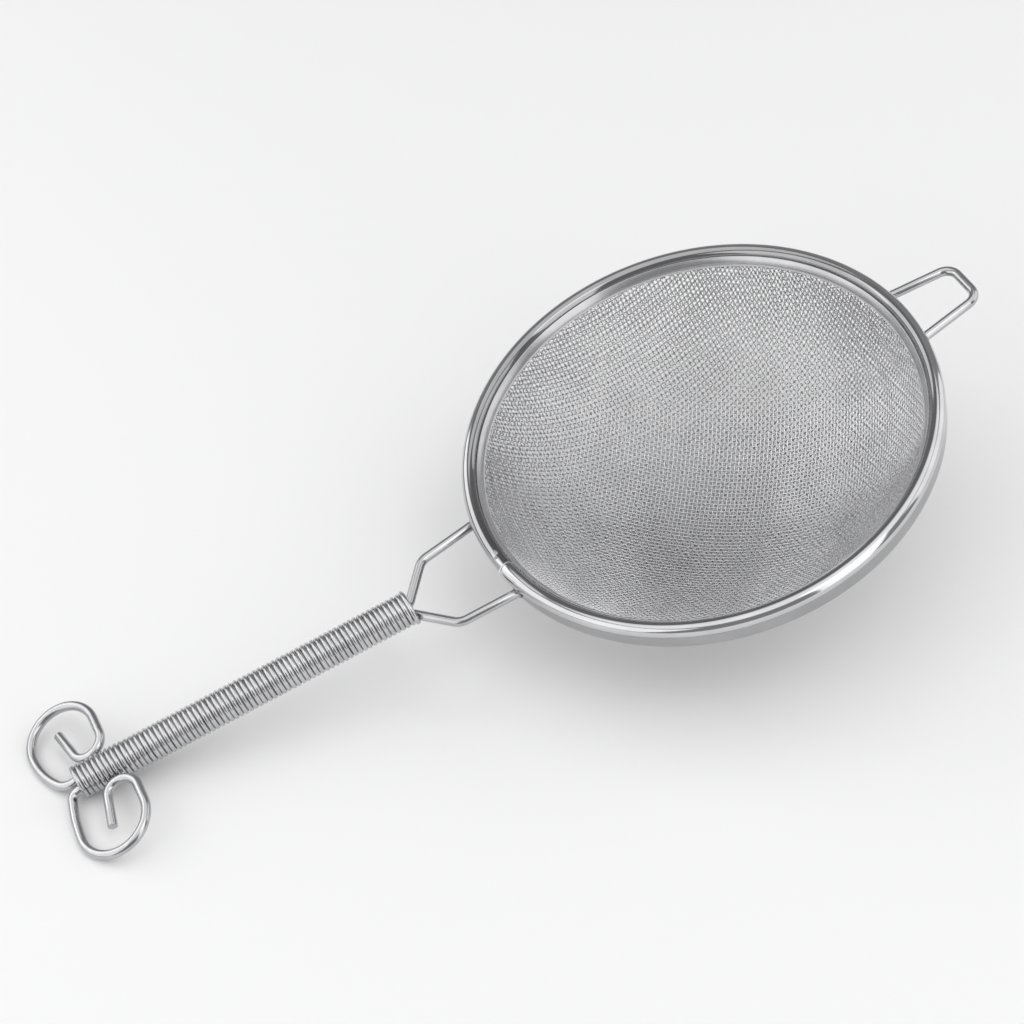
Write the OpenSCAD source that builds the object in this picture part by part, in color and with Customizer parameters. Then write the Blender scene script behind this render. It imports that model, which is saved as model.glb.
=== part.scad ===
// Hand strainer with a double wire-cloth bowl, a rolled rim, a wrapped wire grip and a rest hook.
// It lies as it does on a table: on the foot of its bowl and the two scrolls of its grip.
// Every piece is drawn level with the rim, from the middle of the rolled bead, and then laid down.

/* [Rim] */
// Outer diameter of the rolled rim
rim_d = 200; // [160:1:260]
// Diameter of the rolled bead
bead_d = 6.4; // [5.4:0.1:8]
// Thickness of the rim strip
strip_t = 0.6; // [0.4:0.1:0.8]
// Drop of the skirt's lower edge below the middle of the bead
skirt_drop = 7.8; // [6.5:0.1:11]
// Set-back of the skirt's face from the bead's outermost line
skirt_inset = 0.6; // [0.3:0.1:1.2]
// Half the width of the gap in the skirt between the fork's legs
skirt_gap_half = 17; // [12:0.5:18]
// Width of the clamping band, from the bead in to the cloth
band_w = 2.7; // [1.5:0.1:5]
// Thickness of the clamping band at its foot
band_t = 0.9; // [0.5:0.1:1.5]
// Length of the strip's end that laps over its start
lap_len = 5; // [4:0.5:10]
// Distance of the lap's free edge from the middle of the fork
lap_edge = 11.5; // [3:0.5:12]

/* [Bowl] */
// Depth of the bowl's underside below the middle of the bead
bowl_depth = 66; // [45:1:75]
// Thickness of the inner, fine wire cloth
fine_t = 0.6; // [0.4:0.1:1]
// Thickness of the outer, coarse wire cloth
coarse_t = 0.9; // [0.6:0.1:1.4]

/* [Fork and grip] */
// Diameter of the two frame wires and of the rest hook's wire
frame_wire = 4; // [3:0.1:4.4]
// Depth of the frame wires' middle below the middle of the bead
wire_drop = 5; // [4:0.1:5.5]
// Distance of the left leg from the grip's middle line where it meets the rim
left_root = 24; // [20:0.5:32]
// Distance of the right leg from the grip's middle line where it meets the rim
right_root = 18; // [17:0.5:28]
// Distance of the left shoulder from the grip's middle line
left_shoulder = 20; // [14:0.5:22]
// Distance of the right shoulder from the grip's middle line
right_shoulder = 18; // [14:0.5:22]
// Turn of the left wire where it leaves the grip for the fork
left_turn = 53.5; // [40:0.5:65]
// Turn of the right wire where it leaves the grip for the fork
right_turn = 46; // [40:0.5:65]
// Bend radius at the mouth of the grip, to the middle of the wire
mouth_bend = 4; // [3:0.5:6]
// Bend radius at the fork's shoulders, to the middle of the wire
shoulder_bend = 7; // [4:0.5:9]
// Distance from the rim's edge to the mouth of the grip
fork_len = 39; // [32:0.5:50]
// Length of the wrapped grip
grip_len = 148.5; // [90:0.5:200]
// Half the distance between the middles of the two wires inside the grip
lane = 2.5; // [2.3:0.1:2.8]
// Outer diameter of the wrap
wrap_d = 14.4; // [14:0.1:18]
// Diameter of the wrapping wire
wrap_wire = 2.2; // [1.5:0.1:2.3]
// Turn of the grip from straight back, towards the left
grip_skew = 2.85; // [0:0.05:5]
// Distance of the grip's middle line from the rim's own at the rim's edge, towards the right
grip_set = 2.4; // [0:0.1:4]

/* [Scrolls] */
// Radius of each scroll, to the middle of the wire
scroll_r = 15; // [14:0.1:18]
// Distance of the line through the scrolls' middles from the end of the grip, back towards the bowl
scroll_back = 5; // [4:0.1:6]
// Turn of that line from square to the grip: the left scroll lies farther out
scroll_slew = 6.8; // [5:0.1:8]
// Dip of the scrolls' plane below the grip's, which keeps the wrap clear of the table
scroll_dip = 11; // [9:0.5:16]
// Straight run of each wire from where it dips to its first turn
scroll_lead = 0.8; // [0.6:0.1:1.2]
// First turn of the left wire where it leaves the end of the grip
left_kick = 56; // [50:1:62]
// First turn of the right wire where it leaves the end of the grip
right_kick = 74; // [70:1:78]
// Radius of the bend that closes each scroll against the grip
closing_bend = 7.5; // [6:0.1:11]
// Radius of the bend into each tail
tail_bend = 6; // [3:0.1:7]
// Turn of the bend into each tail
tail_turn = 78; // [70:1:90]
// Length of each tail's straight end
tail_len = 13.5; // [8:0.5:15]

/* [Rest hook] */
// Reach of the hook's bar beyond the rim's edge
hook_reach = 27.7; // [18:0.1:40]
// Half the width of the hook at its corners
hook_half = 10.3; // [8:0.1:16]
// Half the spread of the hook's legs where they meet the rim
hook_leg_half = 14; // [10:0.5:24]
// Bend radius of the hook's corners, to the middle of the wire
hook_bend = 6; // [3:0.5:8]
// Turn of the hook from the line straight across from the fork
hook_turn = 1.2; // [0:0.1:5]

/* [Welds] */
// Width of the weld round the root of each leg
weld_w = 1.1; // [0.6:0.1:1.6]
// Radius of the tack on the strip's lap
tack_r = 1.6; // [1:0.1:2]

/* [Fits] */
// Gap between pieces that seat on each other
seat_gap = 0.1; // [0.05:0.01:0.2]
// Gap between the two cloths of the bowl
cloth_gap = 0.2; // [0.1:0.05:0.4]
// Gap between the bead and the hoop inside it
hoop_gap = 0.2; // [0.1:0.05:0.3]
// Overlap of neighbouring turns of the wrap, which closes it into one sleeve
wrap_bite = 0.05; // [0.02:0.01:0.1]
// Swelling of the frame wire in the faint ring at each end of a bend
bend_swell = 0.04; // [0.02:0.01:0.1]
// Width of that ring
bend_ring_w = 0.2; // [0.1:0.05:0.5]

/* [Hidden] */
$fn = 64;

// Rim section
rim_r = rim_d / 2;
bead_r = bead_d / 2;
bead_mid = rim_r - bead_r;
bead_bore = bead_r - strip_t;
skirt_out = rim_r - skirt_inset;
skirt_in = skirt_out - strip_t;
skirt_root = sqrt(pow(bead_r - strip_t / 2, 2) - pow(skirt_in + strip_t / 2 - bead_mid, 2));
curl_open = 210;
curl_shut = 236;
lap_low = -35;
lap_high = 140;
band_r = bead_mid - bead_r - seat_gap - band_w;
band_hug = 18;
root_r = skirt_out + seat_gap;

// Bowl
fine_top = bead_r + seat_gap;
coarse_top = fine_top + fine_t + seat_gap;
cloth_edge = skirt_in - seat_gap;
bowl_mouth = band_r - seat_gap;
inner_depth = bowl_depth - coarse_t - cloth_gap - fine_t - fine_top;
fine_in = (pow(bowl_mouth, 2) + pow(inner_depth, 2)) / (2 * inner_depth);
coarse_in = fine_in + fine_t + cloth_gap;
bowl_out = coarse_in + coarse_t;
bowl_mid = bowl_out - bowl_depth;

// Grip and fork, measured from the rim's edge along the grip
wire_r = frame_wire / 2;
wrap_r = (wrap_d - wrap_wire) / 2;
wrap_bore = wrap_d / 2 - wrap_wire;
grip_end = fork_len + grip_len;
wrap_pitch = wrap_wire - wrap_bite;
wrap_turns = floor(grip_len / wrap_pitch);
wrap_flats = 4;
flat_w = wrap_pitch / wrap_flats;
// The two wires lie side by side on the floor of the wrap's bore
wrap_lift = sqrt(pow(wrap_bore - seat_gap - wire_r, 2) - pow(lane, 2));
function leg_half(side) = side > 0 ? left_root : right_root;
function fork_half(side) = side > 0 ? left_shoulder : right_shoulder;
function fork_turn(side) = side > 0 ? left_turn : right_turn;
function mouth_set(side) = mouth_bend * tan(fork_turn(side) / 2);
function shoulder_x(side) =
    fork_len - mouth_set(side) - (fork_half(side) - lane) / tan(fork_turn(side));
function leg_flare(side) = atan((leg_half(side) - fork_half(side)) / shoulder_x(side));
function shoulder_turn(side) = fork_turn(side) - leg_flare(side);
function shoulder_set(side) = shoulder_bend * tan(shoulder_turn(side) / 2);
function fork_slant(side) =
    (fork_half(side) - lane) / sin(fork_turn(side)) - mouth_set(side) - shoulder_set(side);
function root_sag(side) = rim_r - sqrt(pow(root_r, 2) - pow(leg_half(side) + grip_set, 2));
function leg_run(side) =
    shoulder_x(side) / cos(leg_flare(side)) - shoulder_set(side) + root_sag(side) + frame_wire;

// Scrolls: each closes against the wrap's side
scroll_off = wrap_d / 2 + seat_gap + wire_r + scroll_r;
scroll_lateral = scroll_off - lane;
function kick(side) = side > 0 ? left_kick : right_kick;
function kick_share(side) = sin(kick(side)) + cos(kick(side)) - 1;
function scroll_ahead(side) =
    scroll_r - scroll_back / cos(scroll_slew) + side * scroll_off * tan(scroll_slew) - scroll_lead;
function kick_bend(side) =
    (scroll_ahead(side) * cos(kick(side)) - scroll_lateral * (1 - sin(kick(side)))) / kick_share(side);
function sweep_bend(side) =
    (scroll_lateral * sin(kick(side)) - scroll_ahead(side) * (1 - cos(kick(side)))) / kick_share(side);

// Place of the tack round the bead's section, below its outermost line
tack_side = -20;

// Rest hook
hook_x = rim_r + hook_reach;
hook_flare = atan((hook_leg_half - hook_half) / (hook_x - root_r));
hook_corner = 90 - hook_flare;
hook_set = hook_bend * tan(hook_corner / 2);
hook_leg = (hook_x - root_r) / cos(hook_flare) - hook_set + frame_wire;

// Where a leg that runs from a point along a direction meets the rim
function rim_root(from, along) =
    from - along * (from * along + sqrt(pow(from * along, 2) - from * from + pow(root_r, 2)));

// How it lies: the bowl's foot and the scrolls' far ends are level, so it leans square to the scrolls' line
rest_turn = scroll_slew - grip_skew;
far_reach = scroll_r - scroll_back;
end_x = rim_r * cos(rest_turn) + grip_set * sin(rest_turn) + grip_end * cos(scroll_slew);
far_x = end_x + far_reach * cos(scroll_dip);
far_drop = wire_drop + far_reach * sin(scroll_dip);
rest_span = norm([far_x, bowl_mid + far_drop]);
rest_tilt = asin((bowl_out - wire_r) / rest_span) - atan2(bowl_mid + far_drop, far_x);
rest_lift = bowl_out - bowl_mid * cos(rest_tilt);
left_far_x = far_x / cos(rest_turn) + scroll_off * tan(rest_turn);
rest_mid_x = (hook_x - left_far_x) / 2 * cos(rest_tilt) + wire_drop * sin(rest_tilt);

steel = [0.80, 0.81, 0.82];
cloth = [0.70, 0.71, 0.72];
coarse_cloth = [0.62, 0.63, 0.64];
wrap_steel = [0.76, 0.77, 0.79];
weld_grey = [0.55, 0.55, 0.56];

module lay_down() {
    translate([-rest_mid_x, 0, rest_lift])
        rotate([0, 0, rest_turn])
            rotate([0, -rest_tilt, 0])
                rotate([0, 0, -rest_turn])
                    children();
}

// The plane of the frame wires, with the grip running along -X from the rim's edge
module grip_place() {
    translate([-rim_r, -grip_set, -wire_drop])
        rotate([0, 0, -grip_skew])
            children();
}

module hook_place() {
    rotate([0, 0, hook_turn])
        translate([hook_x, 0, -wire_drop])
            children();
}

// One bend of the frame wire, leaving along +X and turning left, or right for a negative turn
module wire_bend(radius, turn) {
    if (turn > 0)
        translate([0, radius, 0])
            rotate([0, 0, -90])
                rotate_extrude(angle = turn)
                    translate([radius, 0])
                        circle(d = frame_wire);
    else
        mirror([0, 1, 0])
            wire_bend(radius, -turn);
}

// The faint ring that bending leaves on the wire
module bend_ring() {
    rotate([0, 90, 0])
        cylinder(d = frame_wire + bend_swell, h = bend_ring_w, center = true);
}

// A run of frame wire along +X, made of steps of a feed, a bend radius and a turn
module wire_run(steps, i = 0) {
    if (i < len(steps)) {
        feed = steps[i][0];
        radius = steps[i][1];
        turn = steps[i][2];
        side = turn < 0 ? -1 : 1;
        if (i > 0)
            bend_ring();
        if (feed > 0)
            rotate([0, 90, 0])
                cylinder(d = frame_wire, h = feed);
        translate([feed, 0, 0]) {
            if (feed > 0 && turn != 0)
                bend_ring();
            if (turn != 0)
                wire_bend(radius, turn);
            translate([radius * sin(abs(turn)), side * radius * (1 - cos(turn)), 0])
                rotate([0, 0, turn])
                    wire_run(steps, i + 1);
        }
    }
}

// What the legs' roots are cut back to
module rim_envelope() {
    cylinder(r = root_r, h = 4 * skirt_drop, center = true, $fn = 180);
}

module fork_leg(side) {
    translate([-fork_len, lane, 0])
        wire_run([
            [0, mouth_bend, fork_turn(side)],
            [fork_slant(side), shoulder_bend, -shoulder_turn(side)],
            [leg_run(side), 0, 0]]);
}

module scroll(side) {
    slew = side * scroll_slew;
    translate([-grip_end, 0, 0])
        rotate([0, 0, slew])
            rotate([0, -scroll_dip, 0])
                rotate([0, 0, -slew])
                    translate([0, lane, 0])
                        mirror([1, 0, 0])
                            wire_run([
                                [scroll_lead, kick_bend(side), kick(side)],
                                [0, sweep_bend(side), 90 - kick(side)],
                                [0, scroll_r, 180],
                                [scroll_r - closing_bend, closing_bend, 90],
                                [0, tail_bend, tail_turn],
                                [tail_len, 0, 0]]);
}

// Side 1 is the left wire and side -1 the right
module handle_wire(side) {
    lay_down()
        difference() {
            grip_place()
                mirror([0, side < 0 ? 1 : 0, 0]) {
                    fork_leg(side);
                    translate([-grip_end, lane, 0]) {
                        rotate([0, 90, 0]) {
                            cylinder(d = frame_wire, h = grip_len);
                            sphere(d = frame_wire + 2 * bend_swell);
                        }
                    }
                    scroll(side);
                }
            rim_envelope();
        }
}

// A wedge of the bead's section between two angles less than half a turn apart
module bead_wedge(from, to) {
    reach = 2 * bead_d;
    polygon([[0, 0],
        reach * [cos(from), sin(from)],
        2 * reach * [cos((from + to) / 2), sin((from + to) / 2)],
        reach * [cos(to), sin(to)]]);
}

// Section of the strip's curl round the hoop, open at its hidden edge
module curl_section() {
    translate([bead_mid, 0])
        difference() {
            circle(r = bead_r);
            circle(r = bead_bore);
            bead_wedge(curl_open, curl_shut);
        }
}

// Section of the strip's free end, where it laps over the curl on its open side
module lap_section() {
    translate([bead_mid, 0])
        intersection() {
            difference() {
                circle(r = bead_r + strip_t);
                circle(r = bead_r - strip_t / 2);
            }
            bead_wedge(lap_low, lap_high);
        }
}

module skirt_section() {
    translate([skirt_in, -skirt_drop])
        square([strip_t, skirt_drop - skirt_root]);
}

module rim_strip() {
    lap_start = 180 + asin(lap_edge / rim_r);
    lap_turn = 2 * asin(lap_len / 2 / rim_r);
    gap_half = asin(skirt_gap_half / skirt_out);
    color(steel)
        lay_down() {
            rotate_extrude($fn = 180)
                curl_section();
            rotate([0, 0, gap_half - 180])
                rotate_extrude(angle = 360 - 2 * gap_half, $fn = 180)
                    skirt_section();
            rotate([0, 0, lap_start])
                rotate_extrude(angle = lap_turn, $fn = 180)
                    lap_section();
        }
}

module rim_hoop() {
    color(steel)
        lay_down()
            rotate_extrude($fn = 180)
                translate([bead_mid, 0])
                    circle(r = bead_bore - hoop_gap);
}

module clamp_band() {
    hug_r = bead_r + seat_gap;
    color(steel)
        lay_down()
            rotate_extrude($fn = 180)
                polygon([
                    [band_r, -bead_r],
                    [band_r + band_t, -bead_r],
                    [bead_mid - hug_r * cos(band_hug), -hug_r * sin(band_hug)],
                    [bead_mid - hug_r, 0]]);
}

// One cloth of the bowl: a spherical cap with its edge turned out flat under the bead
module cloth_bowl(inner, thick, top) {
    difference() {
        union() {
            intersection() {
                translate([0, 0, bowl_mid])
                    sphere(r = inner + thick, $fn = 180);
                translate([0, 0, -top - 2 * bowl_depth])
                    cylinder(r = rim_d, h = 2 * bowl_depth);
            }
            translate([0, 0, -top - thick])
                cylinder(r = cloth_edge, h = thick, $fn = 180);
        }
        translate([0, 0, bowl_mid])
            sphere(r = inner, $fn = 180);
    }
}

module fine_mesh() {
    color(cloth)
        lay_down()
            cloth_bowl(fine_in, fine_t, fine_top);
}

module coarse_mesh() {
    color(coarse_cloth)
        lay_down()
            cloth_bowl(coarse_in, coarse_t, coarse_top);
}

module left_handle_wire() {
    color(steel)
        handle_wire(1);
}

module right_handle_wire() {
    color(steel)
        handle_wire(-1);
}

// Height of the wrap's outline over the middle of its wire, a number of flats along a row of turns
function crest_rise(i) = sqrt(pow(wrap_wire / 2, 2) - pow((i % wrap_flats - wrap_flats / 2) * flat_w, 2));

// Section of the wrap along the grip: its turns in a row over a straight bore
module wrap_row() {
    first = (grip_len - wrap_turns * wrap_pitch) / 2;
    crests = [for (i = [0 : wrap_flats * wrap_turns]) [wrap_r + crest_rise(i), first + i * flat_w]];
    polygon(concat([[wrap_bore, first]], crests, [[wrap_bore, grip_len - first]]));
}

// The close-wound wrap, a round sleeve over both wires
module grip_coil() {
    color(wrap_steel)
        lay_down()
            grip_place()
                translate([-grip_end, 0, wrap_lift])
                    rotate([0, 90, 0])
                        rotate_extrude()
                            wrap_row();
}

module rest_hook() {
    color(steel)
        lay_down()
            difference() {
                hook_place()
                    translate([0, hook_half] + (hook_leg + hook_set) * [-cos(hook_flare), sin(hook_flare)])
                        rotate([0, 0, -hook_flare])
                            wire_run([
                                [hook_leg, hook_bend, -hook_corner],
                                [2 * (hook_half - hook_set), hook_bend, -hook_corner],
                                [hook_leg, 0, 0]]);
                rim_envelope();
            }
}

// A domed weld round the root of a leg that runs from a point along a direction into the rim
module root_weld(from, along) {
    root = rim_root(from, along);
    weld_r = wire_r + weld_w;
    translate([root.x, root.y, -wire_drop])
        rotate([0, 90, atan2(along.y, along.x)])
            rotate_extrude()
                intersection() {
                    circle(r = weld_r);
                    translate([wire_r + seat_gap, -weld_r])
                        square(2 * weld_r);
                }
}

module fork_weld(side) {
    heading = leg_flare(side) - side * grip_skew;
    root_weld(
        [-rim_r + side * leg_half(side) * sin(grip_skew),
         side * leg_half(side) * cos(grip_skew) - grip_set],
        [cos(heading), side * sin(heading)]);
}

module hook_weld(side) {
    rotate([0, 0, hook_turn])
        root_weld([hook_x, side * hook_half], [-cos(hook_flare), side * sin(hook_flare)]);
}

// A tack on the outer side of the bead, in the middle of the fork
module lap_tack() {
    difference() {
        translate([-bead_mid - bead_r * cos(tack_side), 0, bead_r * sin(tack_side)])
            sphere(r = tack_r);
        rotate_extrude($fn = 180)
            translate([bead_mid, 0])
                circle(r = bead_r + seat_gap);
    }
}

module weld_tacks() {
    color(weld_grey)
        lay_down() {
            difference() {
                for (side = [-1, 1]) {
                    fork_weld(side);
                    hook_weld(side);
                }
                rim_envelope();
            }
            lap_tack();
        }
}

rim_strip();
rim_hoop();
clamp_band();
fine_mesh();
coarse_mesh();
left_handle_wire();
right_handle_wire();
grip_coil();
rest_hook();
weld_tacks();
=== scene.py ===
import math
import random
import bpy
from mathutils import Matrix, Vector


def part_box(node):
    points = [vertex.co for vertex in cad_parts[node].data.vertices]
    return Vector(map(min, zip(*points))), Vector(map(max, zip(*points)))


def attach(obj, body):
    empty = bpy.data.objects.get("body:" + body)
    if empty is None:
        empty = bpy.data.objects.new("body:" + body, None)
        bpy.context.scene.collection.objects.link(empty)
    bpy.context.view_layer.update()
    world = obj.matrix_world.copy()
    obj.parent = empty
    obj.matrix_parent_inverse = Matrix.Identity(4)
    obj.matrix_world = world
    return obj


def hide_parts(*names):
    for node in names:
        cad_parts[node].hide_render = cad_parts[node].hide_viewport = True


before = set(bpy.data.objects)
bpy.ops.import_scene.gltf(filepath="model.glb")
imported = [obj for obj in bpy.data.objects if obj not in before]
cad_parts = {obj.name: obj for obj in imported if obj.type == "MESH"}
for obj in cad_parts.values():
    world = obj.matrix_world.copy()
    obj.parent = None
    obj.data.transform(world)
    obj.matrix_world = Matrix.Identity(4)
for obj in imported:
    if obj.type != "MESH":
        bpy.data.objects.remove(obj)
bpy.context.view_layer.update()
mm = 0.001
print("frame loaded:", ", ".join(sorted(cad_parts)))

# What several pieces share, all measured in the rim's own level frame
strainer = {
    "rimRadius": 100 * mm,
    "beadRadius": 3.2 * mm,
    "sheet": 0.6 * mm,
    "hoopWire": 2.4 * mm,  # radius
    "skirtFace": 99.4 * mm,
    "frameWire": 2.0 * mm,  # radius
    "wireDrop": 5 * mm,
    "gripSkew": math.radians(2.85),
    "gripSet": 2.4 * mm,  # how far to the right of the rim's middle the grip's line starts
    "restTurn": math.radians(3.95),  # from the rim's own line to the line square to the two scrolls
    "mergeGap": 0.002 * mm,  # points nearer than this are one
    "sharpAngle": math.radians(60),  # edges sharper than this are broken
    "smooth": 40,  # degrees between faces, up to which they shade as one
}
beadMid = strainer["rimRadius"] - strainer["beadRadius"]

# The hoop's box says where the rim is and how far it tilts
hoopLow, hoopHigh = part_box("rim_hoop")
hoopHalf = (hoopHigh - hoopLow) / 2
rimTilt = math.asin((hoopHalf.z - strainer["hoopWire"]) / beadMid)
rimPlace = (
    Matrix.Translation((hoopLow + hoopHigh) / 2)
    @ Matrix.Rotation(strainer["restTurn"], 4, "Z")
    @ Matrix.Rotation(-rimTilt, 4, "Y")
    @ Matrix.Rotation(-strainer["restTurn"], 4, "Z")
)
gripPlace = (
    Matrix.Translation((-strainer["rimRadius"], -strainer["gripSet"], -strainer["wireDrop"]))
    @ Matrix.Rotation(-strainer["gripSkew"], 4, "Z")
)


def deselectAll():
    bpy.ops.object.select_all(action="DESELECT")


def pick(piece):
    deselectAll()
    piece.select_set(True)
    bpy.context.view_layer.objects.active = piece


def applyModifiers(piece):
    pick(piece)
    for modifier in list(piece.modifiers):
        bpy.ops.object.modifier_apply(modifier=modifier.name)


def flatSheet(columns, rows):
    deselectAll()
    bpy.ops.mesh.primitive_grid_add(x_subdivisions=columns, y_subdivisions=rows, size=1, location=(0, 0, 0))
    return bpy.context.object


def giveSheet(piece, thickness):
    wall = piece.modifiers.new("sheet", "SOLIDIFY")
    wall.thickness = thickness
    wall.offset = 0


def breakEdges(piece, width, segments):
    edge = piece.modifiers.new("edge", "BEVEL")
    edge.width = width
    edge.segments = segments
    edge.limit_method = "ANGLE"
    edge.angle_limit = strainer["sharpAngle"]
    applyModifiers(piece)


def settle(piece, name, nodes, material, place=None, smooth=strainer["smooth"]):
    # name it, lay it down with the rim, give it its finish and tie it to the frame
    piece.name = name
    piece.data.name = name
    pick(piece)
    piece.matrix_world = rimPlace @ (place or Matrix()) @ piece.matrix_world
    bpy.ops.object.transform_apply(location=True, rotation=True, scale=True)
    bpy.ops.object.shade_smooth_by_angle(angle=math.radians(smooth))
    piece.data.materials.clear()
    piece.data.materials.append(material)
    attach(piece, "root")
    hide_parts(*nodes)
    return piece


def closeMesh(piece):
    # merge what meets, then turn every face outwards
    pick(piece)
    bpy.ops.object.mode_set(mode="EDIT")
    bpy.ops.mesh.select_all(action="SELECT")
    bpy.ops.mesh.remove_doubles(threshold=strainer["mergeGap"])
    bpy.ops.mesh.normals_make_consistent(inside=False)
    bpy.ops.object.mode_set(mode="OBJECT")


def easeOut(share):
    share = min(max(share, 0), 1)
    return 1 - share * share * (3 - 2 * share)


# Finishes
steel = {
    "patchDetail": 3,
    "grainDetail": 4,
    "noiseLow": 0.3,  # most of the noise lies between these two
    "noiseHigh": 0.7,
    # tone and roughness of the painted highlight along one edge
    "paintedHighlightTone": (0.95, 0.95, 0.95, 1),
    "paintedHighlightRoughness": 0.5,
}


def steelFinish(name, look):
    material = bpy.data.materials.new(name)
    material.use_nodes = True
    nodes = material.node_tree.nodes
    links = material.node_tree.links
    shader = nodes["Principled BSDF"]
    shader.inputs["Metallic"].default_value = 1.0
    coords = nodes.new("ShaderNodeTexCoord")

    def noise(scale, detail, stretch=None):
        texture = nodes.new("ShaderNodeTexNoise")
        texture.inputs["Scale"].default_value = scale
        texture.inputs["Detail"].default_value = detail
        if stretch:
            mapping = nodes.new("ShaderNodeMapping")
            mapping.inputs["Scale"].default_value = stretch
            links.new(coords.outputs["UV"], mapping.inputs["Vector"])
            links.new(mapping.outputs["Vector"], texture.inputs["Vector"])
        else:
            links.new(coords.outputs["Object"], texture.inputs["Vector"])
        return texture.outputs["Fac"]

    def spread(value, low, high):
        remap = nodes.new("ShaderNodeMapRange")
        remap.inputs["From Min"].default_value = steel["noiseLow"]
        remap.inputs["From Max"].default_value = steel["noiseHigh"]
        remap.inputs["To Min"].default_value = low
        remap.inputs["To Max"].default_value = high
        links.new(value, remap.inputs["Value"])
        return remap.outputs["Result"]

    def sheetPlace(axis):
        # X runs across the flat strip and Y along it
        apart = nodes.new("ShaderNodeSeparateXYZ")
        links.new(coords.outputs["UV"], apart.inputs["Vector"])
        return apart.outputs[axis]

    tone = nodes.new("ShaderNodeMix")
    tone.data_type = "RGBA"
    tone.inputs["A"].default_value = (*look["dark"], 1)
    tone.inputs["B"].default_value = (*look["light"], 1)
    links.new(spread(noise(look["patch"], steel["patchDetail"]), 0, 1), tone.inputs["Factor"])
    base = tone.outputs["Result"]
    grain = noise(look["grain"], steel["grainDetail"], look.get("stretch"))
    roughness = spread(grain, *look["roughness"])
    for axis, paintedShade in look.get("paintedShade", {}).items():
        # painted shade: each stop is a place and the share of the tone that is left there, so the steel is
        # darkened where shade is painted on
        ramp = nodes.new("ShaderNodeValToRGB")
        links.new(sheetPlace(axis), ramp.inputs["Fac"])
        stops = ramp.color_ramp.elements
        while len(stops) < len(paintedShade):
            stops.new(0.5)
        for stop, (place, share) in zip(stops, paintedShade):
            stop.position = place
            stop.color = (share, share, share, 1)
        shade = nodes.new("ShaderNodeMix")
        shade.data_type = "RGBA"
        shade.blend_type = "MULTIPLY"
        shade.inputs["Factor"].default_value = 1
        links.new(base, shade.inputs["A"])
        links.new(ramp.outputs["Color"], shade.inputs["B"])
        base = shade.outputs["Result"]
    if "paintedHighlight" in look:
        # one edge has a painted highlight: a near-white tone, with a duller roughness
        axis, limit = look["paintedHighlight"]
        edge = nodes.new("ShaderNodeMath")
        edge.operation = "LESS_THAN"
        edge.inputs[1].default_value = limit
        links.new(sheetPlace(axis), edge.inputs[0])
        paintedHighlight = nodes.new("ShaderNodeMix")
        paintedHighlight.data_type = "RGBA"
        paintedHighlight.inputs["B"].default_value = steel["paintedHighlightTone"]
        links.new(edge.outputs["Value"], paintedHighlight.inputs["Factor"])
        links.new(base, paintedHighlight.inputs["A"])
        base = paintedHighlight.outputs["Result"]
        dull = nodes.new("ShaderNodeMix")
        dull.inputs["B"].default_value = steel["paintedHighlightRoughness"]
        links.new(edge.outputs["Value"], dull.inputs["Factor"])
        links.new(roughness, dull.inputs["A"])
        roughness = dull.outputs["Result"]
    links.new(base, shader.inputs["Base Color"])
    links.new(roughness, shader.inputs["Roughness"])
    bump = nodes.new("ShaderNodeBump")
    bump.inputs["Strength"].default_value = look["bump"]
    bump.inputs["Distance"].default_value = look["bumpDepth"]
    links.new(grain, bump.inputs["Height"])
    links.new(bump.outputs["Normal"], shader.inputs["Normal"])
    return material


rolledSteel = steelFinish("rolled_steel", {
    "dark": (0.56, 0.56, 0.57), "light": (0.64, 0.64, 0.65), "patch": 60,
    "grain": 1.0, "stretch": (60, 3, 1), "roughness": (0.06, 0.14), "bump": 0.05, "bumpDepth": 0.02 * mm,
    "paintedShade": {
        # painted shade across the strip: the skirt and the bead's inner side are darkened, the bead's crest
        # keeps the full tone
        "X": ((0, 0.66), (0.112, 0.66), (0.122, 1), (0.53, 1), (0.58, 0.6), (1, 0.52)),
        # painted shade along the strip: darker over its last stretch, beside and under the free end of the
        # lap
        "Y": ((0, 1), (0.9, 1), (0.95, 0.72), (1, 0.66)),
    },
    # painted highlight: a bright arc along the free end's edge at the lap
    "paintedHighlight": ("Y", 0.016)})
bandSteel = steelFinish("band_steel", {
    "dark": (0.50, 0.50, 0.51), "light": (0.60, 0.60, 0.61), "patch": 60,
    "grain": 1.0, "stretch": (40, 4, 1), "roughness": (0.22, 0.34), "bump": 0.08, "bumpDepth": 0.02 * mm,
    # painted highlight: the band's lower edge by the cloth, its first fifth across, gets a near-white tone
    # and a duller roughness
    "paintedHighlight": ("X", 0.2)})
drawnSteel = steelFinish("drawn_steel", {
    "dark": (0.46, 0.46, 0.47), "light": (0.54, 0.54, 0.55), "patch": 90,
    "grain": 700, "roughness": (0.14, 0.22), "bump": 0.06, "bumpDepth": 0.02 * mm})
wrapSteel = steelFinish("wrap_steel", {
    "dark": (0.51, 0.51, 0.52), "light": (0.61, 0.61, 0.62), "patch": 120,
    "grain": 900, "roughness": (0.16, 0.24), "bump": 0.05, "bumpDepth": 0.02 * mm})
# painted light: the fine cloth on top is brightened past plain steel
litFineSteel = steelFinish("fine_cloth_steel_painted_light", {
    "dark": (0.77, 0.77, 0.78), "light": (0.85, 0.85, 0.86), "patch": 70,
    "grain": 1500, "roughness": (0.16, 0.24), "bump": 0.03, "bumpDepth": 0.01 * mm})
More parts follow.
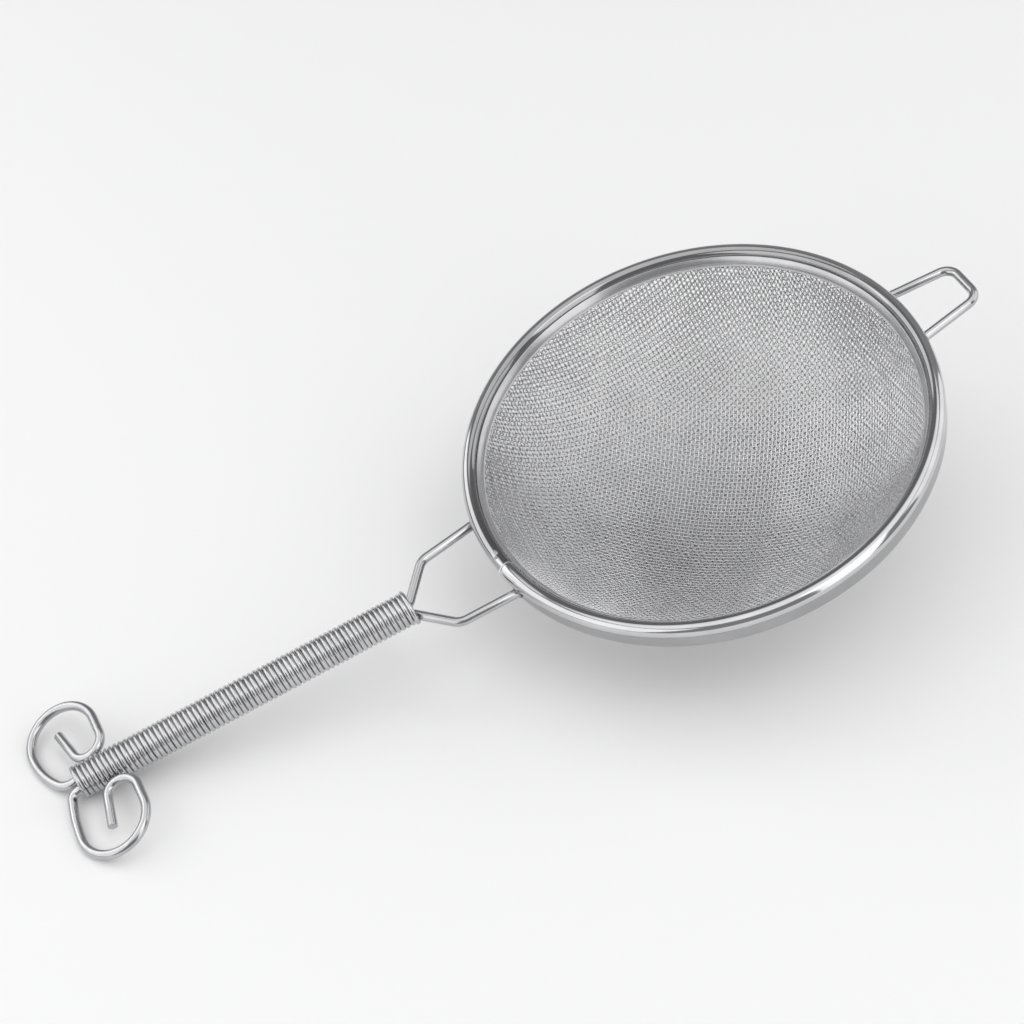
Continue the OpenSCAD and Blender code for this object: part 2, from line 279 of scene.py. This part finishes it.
# painted shade: the coarse cloth under the fine one is darkened, as if in its shade
shadedCoarseSteel = steelFinish("coarse_cloth_steel_painted_shade", {
    "dark": (0.34, 0.34, 0.35), "light": (0.44, 0.44, 0.45), "patch": 70,
    "grain": 1500, "roughness": (0.20, 0.30), "bump": 0.03, "bumpDepth": 0.01 * mm})
weldSteel = steelFinish("weld_steel", {
    "dark": (0.30, 0.30, 0.31), "light": (0.52, 0.52, 0.52), "patch": 500,
    "grain": 900, "roughness": (0.28, 0.45), "bump": 0.25, "bumpDepth": 0.05 * mm})
print("finishes mixed")


# Rolled rim: a flat strip, rolled round the hoop at its upper edge and round the bowl at its ends
rolledRim = {
    "skirtDrop": 7.8 * mm,
    "skirtShares": (0, 0.25, 0.5, 0.75, 0.92),  # of the way up from the skirt's edge to the crease
    "curlEnd": 210,  # degrees round the bead, where the strip's hidden edge lies
    "gapHalf": 17 * mm,
    "gapTop": 0.98,  # share of the skirt's upper line, below which the gap is cut
    "lapEdge": 11.5 * mm,  # the free end's distance from the middle of the fork
    "lapUnder": 6,  # degrees of the other end that lie under it
    "lapRise": 1.05 * mm,
    "lapRun": 16,  # degrees over which the free end comes down to the bead
    "endTuck": 0.42,  # share of the rise that is lost where the free end is dressed down
    "endRun": 0.55,  # degrees over which it is
    "lapFade": 105,  # degrees round the bead, from where the rise fades towards the inner side
    "fadeRun": 40,
    "creaseSide": 270,  # degrees round the bead, past which the crease's side begins
    "underSink": 0.06 * mm,  # how far the covered end lies below the bead
    "sinkRun": 1,  # degrees over which it goes down
    "edgeBevel": 0.12 * mm,
    "edgeSegments": 2,
    "endRows": 14,
    "rows": 366,
    "curlPoints": 40,
}


def stripSection(spec):
    # from the skirt's lower edge, up to the crease and over the bead: x, z and whether it is on the bead
    middle = strainer["beadRadius"] - strainer["sheet"] / 2
    skirtX = strainer["skirtFace"] - strainer["sheet"] / 2 - beadMid
    crease = -math.acos(skirtX / middle)
    points = []
    for share in spec["skirtShares"]:
        rise = share * (spec["skirtDrop"] + middle * math.sin(crease))
        points.append((skirtX, rise - spec["skirtDrop"], False))
    for i in range(spec["curlPoints"] + 1):
        angle = crease + (math.radians(spec["curlEnd"]) - crease) * i / spec["curlPoints"]
        points.append((middle * math.cos(angle), middle * math.sin(angle), True))
    return points


def rowTurn(spec, row, sweep):
    # the rows stand close at the free end and evenly from there on
    close = 2 * spec["endRun"]
    if row < spec["endRows"]:
        return close * row / spec["endRows"]
    return close + (sweep - close) * (row - spec["endRows"]) / (spec["rows"] - spec["endRows"])


def makeRim(spec):
    section = stripSection(spec)
    strip = flatSheet(len(section) - 1, spec["rows"])
    start = 180 + math.degrees(math.asin(spec["lapEdge"] / strainer["rimRadius"]))
    sweep = 360 + spec["lapUnder"]
    for vertex in strip.data.vertices:
        column = round((vertex.co.x + 0.5) * (len(section) - 1))
        row = round((vertex.co.y + 0.5) * spec["rows"])
        turn = rowTurn(spec, row, sweep)
        x, z, onBead = section[column]
        if onBead:
            tuck = spec["endTuck"] * math.exp(-(turn / spec["endRun"]) ** 2)
            rise = spec["lapRise"] * easeOut(turn / spec["lapRun"]) * (1 - tuck)
            # the lap stays clear of the clamp band on the bead's inner side
            around = math.degrees(math.atan2(z, x)) % 360
            if around < spec["creaseSide"]:
                rise *= easeOut((around - spec["lapFade"]) / spec["fadeRun"])
            if turn > 360:
                rise = -spec["underSink"] * (1 - easeOut((turn - 360) / spec["sinkRun"]))
            swell = 1 + rise / strainer["beadRadius"]
            x, z = x * swell, z * swell
        angle = math.radians(start + turn)
        radius = beadMid + x
        vertex.co = (radius * math.cos(angle), radius * math.sin(angle), z)
    # no skirt between the fork's legs
    pick(strip)
    bpy.ops.object.mode_set(mode="EDIT")
    bpy.ops.mesh.select_mode(type="FACE")
    bpy.ops.mesh.select_all(action="DESELECT")
    bpy.ops.object.mode_set(mode="OBJECT")
    gapZ = spec["gapTop"] * max(z for x, z, onBead in section if not onBead)
    for face in strip.data.polygons:
        spot = face.center
        face.select = spot.z < gapZ and spot.x < 0 and abs(spot.y) < spec["gapHalf"]
    bpy.ops.object.mode_set(mode="EDIT")
    bpy.ops.mesh.delete(type="FACE")
    bpy.ops.mesh.select_all(action="SELECT")
    bpy.ops.mesh.normals_make_consistent(inside=False)
    bpy.ops.object.mode_set(mode="OBJECT")
    giveSheet(strip, strainer["sheet"])
    breakEdges(strip, spec["edgeBevel"], spec["edgeSegments"])
    return settle(strip, "rolled_rim", ["rim_strip"], rolledSteel)


makeRim(rolledRim)
print("rim rolled")


# Clamp band: a narrow sheet ring, bulged along its middle, that presses the cloth against the bead
clampBand = {
    "topRadius": 93.45 * mm,
    "topZ": 0.9 * mm,
    "footRadius": 91.1 * mm,
    "footZ": -2.95 * mm,
    "bulge": 0.35 * mm,
    "sheet": 0.55 * mm,
    "edgeBevel": 0.2 * mm,
    "edgeSegments": 3,
    "columns": 12,
    "rows": 360,
}


def makeBand(spec):
    band = flatSheet(spec["columns"], spec["rows"])
    slopeX = spec["topRadius"] - spec["footRadius"]
    slopeZ = spec["topZ"] - spec["footZ"]
    length = math.hypot(slopeX, slopeZ)
    for vertex in band.data.vertices:
        across = vertex.co.x + 0.5
        angle = (vertex.co.y + 0.5) * 2 * math.pi
        out = spec["bulge"] * math.sin(math.pi * across)
        radius = spec["footRadius"] + slopeX * across - out * slopeZ / length
        z = spec["footZ"] + slopeZ * across + out * slopeX / length
        vertex.co = (radius * math.cos(angle), radius * math.sin(angle), z)
    closeMesh(band)
    giveSheet(band, spec["sheet"])
    breakEdges(band, spec["edgeBevel"], spec["edgeSegments"])
    return settle(band, "clamp_ring", ["clamp_band"], bandSteel)


makeBand(clampBand)
print("clamp band fitted")


# Wire cloth: each cloth is woven flat and pressed into the bowl, so its wires keep their spacing and shear
bowl = {
    "depth": 66 * mm,
    "mouth": 90.7 * mm,
    "fineThick": 0.6 * mm,
    "coarseThick": 0.9 * mm,
    "clothGap": 0.2 * mm,
    "seatGap": 0.1 * mm,
    "edge": 98.6 * mm,  # how far out the cloths' edges reach under the bead
    "spareCrossings": 3,  # worked out past the brim
    "leastCrossings": 3,  # a shorter wire is left out
    "brimShares": (0.33, 0.66, 1),  # of the way out to the edge, where a wire goes over or under
    "leastBrim": 0.5 * mm,
    "leastClimb": 0.2,  # the steepness and the outward share that an end's run is worked out with
    "leastOut": 0.5,
    "roundness": 1,
    "smooth": 80,
}
fineTop = strainer["beadRadius"] + bowl["seatGap"]
coarseTop = fineTop + bowl["fineThick"] + bowl["seatGap"]
innerDepth = bowl["depth"] - bowl["coarseThick"] - bowl["clothGap"] - bowl["fineThick"] - fineTop
fineInside = (bowl["mouth"] ** 2 + innerDepth ** 2) / (2 * innerDepth)
coarseInside = fineInside + bowl["fineThick"] + bowl["clothGap"]
bowlMid = coarseInside + bowl["coarseThick"] - bowl["depth"]

fineCloth = {
    "name": "fine_cloth", "node": "fine_mesh", "slot": "fine_cloth",
    "ball": fineInside + bowl["fineThick"] / 2, "brim": -fineTop - bowl["fineThick"] / 2,
    "pitch": 1.78 * mm, "wire": 0.20 * mm, "turn": math.radians(-38), "steel": litFineSteel,
}
coarseCloth = {
    "name": "coarse_cloth", "node": "coarse_mesh", "slot": "coarse_cloth",
    "ball": coarseInside + bowl["coarseThick"] / 2, "brim": -coarseTop - bowl["coarseThick"] / 2,
    "pitch": 1.96 * mm, "wire": 0.25 * mm, "turn": 0, "steel": shadedCoarseSteel,
}


def clothNet(spec):
    # crossings of the wires as directions from the ball's middle: two straight wires run through
    # the bowl's foot, and every further crossing is mirrored across the plane of its two neighbours
    step = 2 * math.asin(spec["pitch"] / (2 * spec["ball"]))
    limit = -math.cos(math.acos((bowlMid - spec["brim"]) / spec["ball"]) + bowl["spareCrossings"] * step)
    ahead = Vector((math.cos(spec["turn"]), math.sin(spec["turn"]), 0))
    aside = Vector((-ahead.y, ahead.x, 0))
    down = Vector((0, 0, -1))
    net = {(0, 0): down}
    reach = int(math.radians(90) / step)
    for k in range(1, reach):
        for side in (1, -1):
            net[side * k, 0] = down * math.cos(k * step) + ahead * side * math.sin(k * step)
            net[0, side * k] = down * math.cos(k * step) + aside * side * math.sin(k * step)
    for sideI in (1, -1):
        for sideJ in (1, -1):
            for i in range(1, reach):
                for j in range(1, reach):
                    before = net.get((sideI * (i - 1), sideJ * (j - 1)))
                    left = net.get((sideI * (i - 1), sideJ * j))
                    right = net.get((sideI * i, sideJ * (j - 1)))
                    if not (before and left and right):
                        break
                    across = left.cross(right).normalized()
                    crossing = before - 2 * before.dot(across) * across
                    if crossing.z > limit:
                        break
                    net[sideI * i, sideJ * j] = crossing
    return net


def clothWire(spec, crossings):
    # crossings is a row of (direction, over or under); the ends turn out flat under the bead
    brimZ = spec["brim"] - bowlMid
    inside = [(spot, lift) for spot, lift in crossings if spot.z * spec["ball"] < brimZ]
    if len(inside) < bowl["leastCrossings"]:
        return None
    points = [spot * (spec["ball"] - lift * spec["wire"]) for spot, lift in inside]

    def brimEnd(last, previous, lift):
        heading = last - previous
        heading.normalize()
        climb = (brimZ - last.z) / max(heading.z, bowl["leastClimb"])
        mouth = last + heading * climb
        flat = Vector((mouth.x, mouth.y, 0)).normalized()
        way = (Vector((heading.x, heading.y, 0)).normalized() + flat).normalized()
        room = max(bowl["edge"] - math.hypot(mouth.x, mouth.y), bowl["leastBrim"])
        room /= max(way.dot(flat), bowl["leastOut"])
        ends = [mouth + Vector((0, 0, lift * spec["wire"]))]
        for share in bowl["brimShares"]:
            lift = -lift
            ends.append(mouth + way * room * share + Vector((0, 0, lift * spec["wire"])))
        return ends

    head = brimEnd(points[0], points[1], inside[0][1])
    tail = brimEnd(points[-1], points[-2], inside[-1][1])
    return head[::-1] + points + tail


def drawWires(runs, radius, roundness):
    # each run is a curve with a round section, made a mesh
    deselectAll()
    bpy.ops.curve.primitive_nurbs_path_add(location=(0, 0, 0))
    piece = bpy.context.object
    curve = piece.data
    curve.splines.clear()
    curve.bevel_depth = radius
    curve.bevel_resolution = roundness
    curve.use_fill_caps = True
    for run in runs:
        spline = curve.splines.new("POLY")
        spline.points.add(len(run) - 1)
        spline.points.foreach_set("co", [value for point in run for value in (*point, 1)])
    pick(piece)
    bpy.ops.object.convert(target="MESH")
    return bpy.context.object


def weaveCloth(spec):
    net = clothNet(spec)
    middle = Matrix.Translation((0, 0, bowlMid))
    for family, suffix in ((0, "warp"), (1, "weft")):
        rows = {}
        for key, spot in net.items():
            lift = 1 if (key[0] + key[1] + family) % 2 else -1
            rows.setdefault(key[family], []).append((key[1 - family], spot, lift))
        runs = []
        for row in rows.values():
            crossings = [(spot, lift) for place, spot, lift in sorted(row, key=lambda entry: entry[0])]
            run = clothWire(spec, crossings)
            if run:
                runs.append(run)
        wires = drawWires(runs, spec["wire"], bowl["roundness"])
        closeMesh(wires)
        name = f"{spec['name']}_{suffix}"
        settle(wires, name, [spec["node"]], spec["steel"], middle, bowl["smooth"])
        faces = sum(len(face.vertices) - 2 for face in wires.data.polygons)
        print(spec["name"], suffix, len(runs), "wires", faces, "triangles")


weaveCloth(fineCloth)
weaveCloth(coarseCloth)


# Frame wires: a round wire fed straight and bent by turns, as on a bending jig
jig = {
    "sides": 24,
    "stepTurn": math.radians(5),
    "leastSteps": 4,
    "endBevel": 0.25 * mm,
    "endSegments": 3,
}


def bendWire(start, heading, steps, radius, dip=None):
    facing = Matrix.Rotation(heading, 4, "Z") @ Matrix.Rotation(math.pi / 2, 4, "Y")
    deselectAll()
    bpy.ops.mesh.primitive_circle_add(vertices=jig["sides"], radius=radius, fill_type="NGON")
    wire = bpy.context.object
    wire.matrix_world = Matrix.Translation(start) @ facing
    bpy.ops.object.transform_apply(location=True, rotation=True, scale=True)
    bpy.ops.object.mode_set(mode="EDIT")
    bpy.ops.mesh.select_all(action="SELECT")
    spot = Vector(start)
    plane = Matrix.Identity(3)
    for number, (feed, bend, turn) in enumerate(steps):
        if dip and number == dip["step"]:
            # from here on the wire is bent in a plane that dips
            centre = spot - Vector((0, 0, dip["bend"]))
            bpy.ops.mesh.spin(
                steps=jig["leastSteps"], angle=dip["angle"], center=centre, axis=dip["axis"])
            plane = Matrix.Rotation(-dip["angle"], 3, dip["axis"])
            spot = centre + plane @ (spot - centre)
        ahead = plane @ Vector((math.cos(heading), math.sin(heading), 0))
        aside = plane @ Vector((-math.sin(heading), math.cos(heading), 0))
        upright = plane @ Vector((0, 0, 1))
        if feed > 0:
            bpy.ops.mesh.extrude_region_move(TRANSFORM_OT_translate={"value": ahead * feed})
            spot += ahead * feed
        if turn:
            centre = spot + aside * math.copysign(bend, turn)
            turns = max(jig["leastSteps"], round(abs(turn) / jig["stepTurn"]))
            bpy.ops.mesh.spin(steps=turns, angle=-turn, center=centre, axis=upright)
            spot = centre + Matrix.Rotation(turn, 3, upright) @ (spot - centre)
            heading += turn
    bpy.ops.object.mode_set(mode="OBJECT")
    closeMesh(wire)
    breakEdges(wire, jig["endBevel"], jig["endSegments"])
    return wire


handle = {
    "mouthBend": 4 * mm, "shoulderBend": 7 * mm,
    "forkLength": 39 * mm, "gripLength": 148.5 * mm, "lane": 2.5 * mm,
    "rootSink": 0.3 * mm,  # how far a leg's end goes into the rim's sheet
}
scroll = {
    "radius": 15 * mm, "back": 5 * mm, "lead": 0.8 * mm, "closingBend": 7.5 * mm,
    "slew": math.radians(6.8), "dip": math.radians(11), "dipBend": 3 * mm,
    "tailBend": 6 * mm, "tailTurn": math.radians(78), "tailLength": 13.5 * mm,
}
wrap = {
    "wire": 1.1 * mm, "seatGap": 0.1 * mm, "bite": 0.05 * mm, "ring": 6.1 * mm, "lift": 1.47 * mm,
    "turnPoints": 24, "roundness": 3, "smooth": 60, "seed": 5,
    "slip": 0.06 * mm, "swell": 0.012,  # how unevenly the turns lie
    # the last turns run past the grip and widen with the fork's bends
    "overrun": 3.3 * mm, "flareStart": 0.6 * mm, "leftFlare": 1.3, "rightFlare": 1.0,
}
gripEnd = handle["forkLength"] + handle["gripLength"]
rootSpots = []  # each leg's end and the way that it goes into the rim, for the welds

# each leg's distance from the grip's middle line at the rim and at its shoulder, and its turns
leftLeg = {
    "side": 1, "root": 24 * mm, "shoulder": 20 * mm, "turn": math.radians(53.5), "kick": math.radians(56),
    "name": "left_wire", "node": "left_handle_wire",
}
rightLeg = {
    "side": -1, "root": 18 * mm, "shoulder": 18 * mm, "turn": math.radians(46), "kick": math.radians(74),
    "name": "right_wire", "node": "right_handle_wire",
}


def forkSteps(leg):
    # the shoulder's distance from the rim, the leg's flare, and the turns and runs from there to the grip
    mouthSet = handle["mouthBend"] * math.tan(leg["turn"] / 2)
    spread = leg["shoulder"] - handle["lane"]
    shoulderX = handle["forkLength"] - mouthSet - spread / math.tan(leg["turn"])
    flare = math.atan((leg["root"] - leg["shoulder"]) / shoulderX)
    shoulderTurn = leg["turn"] - flare
    shoulderSet = handle["shoulderBend"] * math.tan(shoulderTurn / 2)
    slant = spread / math.sin(leg["turn"]) - mouthSet - shoulderSet
    return shoulderX, flare, shoulderTurn, shoulderSet, slant


def rimDistance(start, ahead, radius):
    # how far along a leg's line the rim's round face lies
    along = start.dot(ahead)
    return -along - math.sqrt(along * along - start.dot(start) + radius * radius)


def makeHandleWire(leg):
    side = leg["side"]
    shoulderX, flare, shoulderTurn, shoulderSet, slant = forkSteps(leg)
    skew = strainer["gripSkew"]
    # the line from the shoulder to the rim, in the rim's frame, gives the leg's length
    towards = Matrix.Rotation(-skew, 2) @ Vector((math.cos(flare), side * math.sin(flare)))
    shoulder = Matrix.Rotation(-skew, 2) @ Vector((-shoulderX, side * leg["shoulder"]))
    shoulder += Vector((-strainer["rimRadius"], -strainer["gripSet"]))
    legRun = rimDistance(shoulder, towards, strainer["skirtFace"]) + handle["rootSink"]
    root = Vector((
        -shoulderX + math.cos(flare) * legRun, side * (leg["shoulder"] + math.sin(flare) * legRun), 0))
    scrollOff = wrap["ring"] + wrap["wire"] + wrap["seatGap"] + strainer["frameWire"] + scroll["radius"]
    lateral = scrollOff - handle["lane"]
    kick = leg["kick"]
    slew = scroll["slew"]
    ahead = scroll["radius"] - scroll["back"] / math.cos(slew) - scroll["lead"]
    ahead += side * scrollOff * math.tan(slew)
    share = math.sin(kick) + math.cos(kick) - 1
    kickBend = (ahead * math.cos(kick) - lateral * (1 - math.sin(kick))) / share
    sweepBend = (lateral * math.sin(kick) - ahead * (1 - math.cos(kick))) / share
    dipSet = scroll["dipBend"] * math.tan(scroll["dip"] / 2)
    steps = [
        (legRun - shoulderSet, handle["shoulderBend"], side * shoulderTurn),
        (slant, handle["mouthBend"], -side * leg["turn"]),
        (handle["gripLength"] - dipSet, 0, 0),
        (scroll["lead"] - dipSet, kickBend, -side * kick),
        (0, sweepBend, -side * (math.pi / 2 - kick)),
        (0, scroll["radius"], -side * math.pi),
        (scroll["radius"] - scroll["closingBend"], scroll["closingBend"], -side * math.pi / 2),
        (0, scroll["tailBend"], -side * scroll["tailTurn"]),
        (scroll["tailLength"], 0, 0),
    ]
    dip = {
        "step": 3, "bend": scroll["dipBend"], "angle": scroll["dip"],
        "axis": Vector((-math.sin(slew), math.cos(slew), 0)),
    }
    wire = bendWire(root, math.pi + side * flare, steps, strainer["frameWire"], dip)
    rootSpots.append((gripPlace @ root, Vector((towards.x, towards.y, 0))))
    return settle(wire, leg["name"], [leg["node"]], drawnSteel, gripPlace)


makeHandleWire(leftLeg)
makeHandleWire(rightLeg)
print("handle wires bent")


# Rest hook
hook = {
    "reach": 27.7 * mm, "half": 10.3 * mm, "legHalf": 14 * mm, "bend": 6 * mm, "turn": math.radians(1.2),
    "seatGap": 0.1 * mm, "rootSink": 0.3 * mm,
}


def makeHook(spec):
    barX = strainer["rimRadius"] + spec["reach"]
    seat = strainer["skirtFace"] + spec["seatGap"]
    flare = math.atan((spec["legHalf"] - spec["half"]) / (barX - seat))
    corner = math.pi / 2 - flare
    cornerSet = spec["bend"] * math.tan(corner / 2)
    back = Vector((-math.cos(flare), math.sin(flare)))
    tip = Vector((barX, spec["half"]))
    legRun = rimDistance(tip, back, strainer["skirtFace"]) + spec["rootSink"]
    root = tip + back * legRun
    steps = [
        (legRun - cornerSet, spec["bend"], -corner),
        (2 * (spec["half"] - cornerSet), spec["bend"], -corner),
        (legRun - cornerSet, 0, 0),
    ]
    wire = bendWire(Vector((root.x, root.y, -strainer["wireDrop"])), -flare, steps, strainer["frameWire"])
    turned = Matrix.Rotation(spec["turn"], 4, "Z")
    for side in (1, -1):
        rootSpots.append((
            turned @ Vector((root.x, side * root.y, -strainer["wireDrop"])),
            turned @ Vector((back.x, side * back.y, 0))))
    return settle(wire, "rest_bail", ["rest_hook"], drawnSteel, turned)


makeHook(hook)
print("rest hook bent")


# Grip wrap: one wire wound close round both frame wires, its last turns climbing the fork's bends
def makeWrap(spec):
    pitch = 2 * spec["wire"] - spec["bite"]
    points = spec["turnPoints"]
    unevenness = random.Random(spec["seed"])
    run = []
    first = -gripEnd + spec["wire"]
    turns = (handle["gripLength"] + spec["overrun"] - 2 * spec["wire"]) / pitch
    for i in range(round(turns * points)):
        if i % points == 0:
            slip = unevenness.uniform(-1, 1) * spec["slip"]
            swell = 1 + unevenness.uniform(0, 1) * spec["swell"]
        angle = 2 * math.pi * i / points
        x = first + pitch * i / points
        y = spec["ring"] * swell * math.cos(angle)
        z = spec["ring"] * swell * math.sin(angle) + spec["lift"]
        flare = spec["leftFlare"] if y > 0 else spec["rightFlare"]
        past = max(x + handle["forkLength"] - spec["flareStart"], 0)
        y += flare * past * math.cos(angle)
        run.append((x + slip, y, z))
    wire = drawWires([run], spec["wire"], spec["roundness"])
    closeMesh(wire)
    return settle(wire, "grip_wrap", ["grip_coil"], wrapSteel, gripPlace, spec["smooth"])


makeWrap(wrap)
print("grip wrapped")


# Welds: a thin uneven collar at each root, and three small tacks where the rim's ends lap
weld = {
    "tube": 0.6 * mm, "reach": 2.05 * mm, "flat": 0.8, "setBack": 0.25 * mm,
    "collarSteps": 36, "tubeSteps": 12, "tackCuts": 4, "smooth": 70,
    "lumps": 0.35 * mm, "lumpSize": 1.6 * mm,
}
lapTacks = [
    # degrees round the rim, degrees round the bead, length along the rim, width and height
    {"place": 182.0, "side": 92, "size": (1.5 * mm, 0.7 * mm, 0.45 * mm)},
    {"place": 183.4, "side": 70, "size": (0.8 * mm, 0.8 * mm, 0.4 * mm)},
    {"place": 192.2, "side": 46, "size": (0.9 * mm, 0.7 * mm, 0.7 * mm)},
]


def lumpy(piece, depth, size):
    clouds = bpy.data.textures.new("weld_lumps", "CLOUDS")
    clouds.noise_scale = size
    lumps = piece.modifiers.new("lumps", "DISPLACE")
    lumps.texture = clouds
    lumps.texture_coords = "GLOBAL"
    lumps.strength = depth
    lumps.mid_level = 0.5
    applyModifiers(piece)


def makeWelds():
    pieces = []
    for spot, ahead in rootSpots:
        deselectAll()
        bpy.ops.mesh.primitive_torus_add(
            major_segments=weld["collarSteps"], minor_segments=weld["tubeSteps"],
            major_radius=weld["reach"], minor_radius=weld["tube"])
        collar = bpy.context.object
        collar.matrix_world = (
            Matrix.Translation(spot - ahead * weld["setBack"])
            @ ahead.to_track_quat("Z", "Y").to_matrix().to_4x4()
            @ Matrix.Diagonal((1, 1, weld["flat"], 1)))
        pieces.append(collar)
    for tack in lapTacks:
        place = math.radians(tack["place"])
        side = math.radians(tack["side"])
        out = Vector((math.cos(side) * math.cos(place), math.cos(side) * math.sin(place), math.sin(side)))
        along = Vector((-math.sin(place), math.cos(place), 0))
        spot = Vector((beadMid * math.cos(place), beadMid * math.sin(place), 0))
        spot += out * strainer["beadRadius"]
        deselectAll()
        bpy.ops.mesh.primitive_ico_sphere_add(subdivisions=weld["tackCuts"], radius=1)
        nugget = bpy.context.object
        axes = Matrix((along, out.cross(along), out)).transposed().to_4x4()
        nugget.matrix_world = Matrix.Translation(spot) @ axes @ Matrix.Diagonal((*tack["size"], 1))
        pieces.append(nugget)
    for piece in pieces:
        pick(piece)
        bpy.ops.object.transform_apply(location=True, rotation=True, scale=True)
        lumpy(piece, weld["lumps"], weld["lumpSize"])
    deselectAll()
    for piece in pieces:
        piece.select_set(True)
    bpy.context.view_layer.objects.active = pieces[0]
    bpy.ops.object.join()
    welds = bpy.context.object
    closeMesh(welds)
    return settle(welds, "root_welds", ["weld_tacks"], weldSteel, None, weld["smooth"])


makeWelds()
print("welds laid")


# The hidden hoop keeps its CAD shape and takes the drawn wire's finish
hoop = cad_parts["rim_hoop"]
hoop.data.materials.clear()
hoop.data.materials.append(drawnSteel)


# Studio
studio = {
    "floorSize": 8,
    "floorTone": (0.92, 0.92, 0.92, 1),
    "floorRoughness": 0.9,
    "floorShine": 0.1,
    "surround": (0.29, 0.29, 0.293, 1),
    "cameraPlace": (-0.29342, -0.77435, 0.92989),
    "cameraTurn": (43.509, 5.083, -25.94),
    "lens": 105.47,
    "sensor": 36,
    "middle": Vector((0, 0, 0.03)),
    # each soft box: azimuth, elevation, distance, width, height, radiance
    "boxes": {
        "left_box": (178, 28, 1.3, 1.8, 1.15, 1.1),
        "back_box": (124, 32, 1.5, 0.9, 1.0, 1.2),
        "front_box": (-67, 36, 1.3, 0.65, 1.9, 1.3),
        "right_box": (-8, 25, 1.3, 1.05, 1.1, 0.95),
    },
    "overhead": 0.95,
    "overheadSpread": math.radians(70),
}


def makeStudio(spec):
    deselectAll()
    bpy.ops.mesh.primitive_plane_add(size=spec["floorSize"], location=(0, 0, 0))
    floor = bpy.context.object
    floor.name = "floor"
    paper = bpy.data.materials.new("floor_paper")
    paper.use_nodes = True
    shader = paper.node_tree.nodes["Principled BSDF"]
    shader.inputs["Base Color"].default_value = spec["floorTone"]
    shader.inputs["Roughness"].default_value = spec["floorRoughness"]
    shader.inputs["Specular IOR Level"].default_value = spec["floorShine"]
    floor.data.materials.append(paper)
    world = bpy.context.scene.world or bpy.data.worlds.new("studio")
    bpy.context.scene.world = world
    world.use_nodes = True
    world.node_tree.nodes["Background"].inputs["Color"].default_value = spec["surround"]
    for name, (azimuth, elevation, distance, width, height, radiance) in spec["boxes"].items():
        lamp = bpy.data.lights.new(name, "AREA")
        lamp.shape = "RECTANGLE"
        lamp.size = width
        lamp.size_y = height
        lamp.energy = radiance * math.pi * width * height
        box = bpy.data.objects.new(name, lamp)
        bpy.context.scene.collection.objects.link(box)
        azimuth = math.radians(azimuth)
        elevation = math.radians(elevation)
        level = math.cos(elevation)
        out = Vector((level * math.cos(azimuth), level * math.sin(azimuth), math.sin(elevation)))
        box.location = spec["middle"] + out * distance
        box.rotation_euler = (-out).to_track_quat("-Z", "Y").to_euler()
    lamp = bpy.data.lights.new("overhead", "SUN")
    lamp.energy = spec["overhead"]
    lamp.angle = spec["overheadSpread"]
    sky = bpy.data.objects.new("overhead", lamp)
    bpy.context.scene.collection.objects.link(sky)
    lens = bpy.data.cameras.new("camera")
    lens.lens = spec["lens"]
    lens.sensor_width = spec["sensor"]
    camera = bpy.data.objects.new("camera", lens)
    bpy.context.scene.collection.objects.link(camera)
    camera.location = spec["cameraPlace"]
    camera.rotation_euler = [math.radians(angle) for angle in spec["cameraTurn"]]
    bpy.context.scene.camera = camera
    bpy.context.scene.view_settings.view_transform = "Standard"


makeStudio(studio)
print("studio lit")
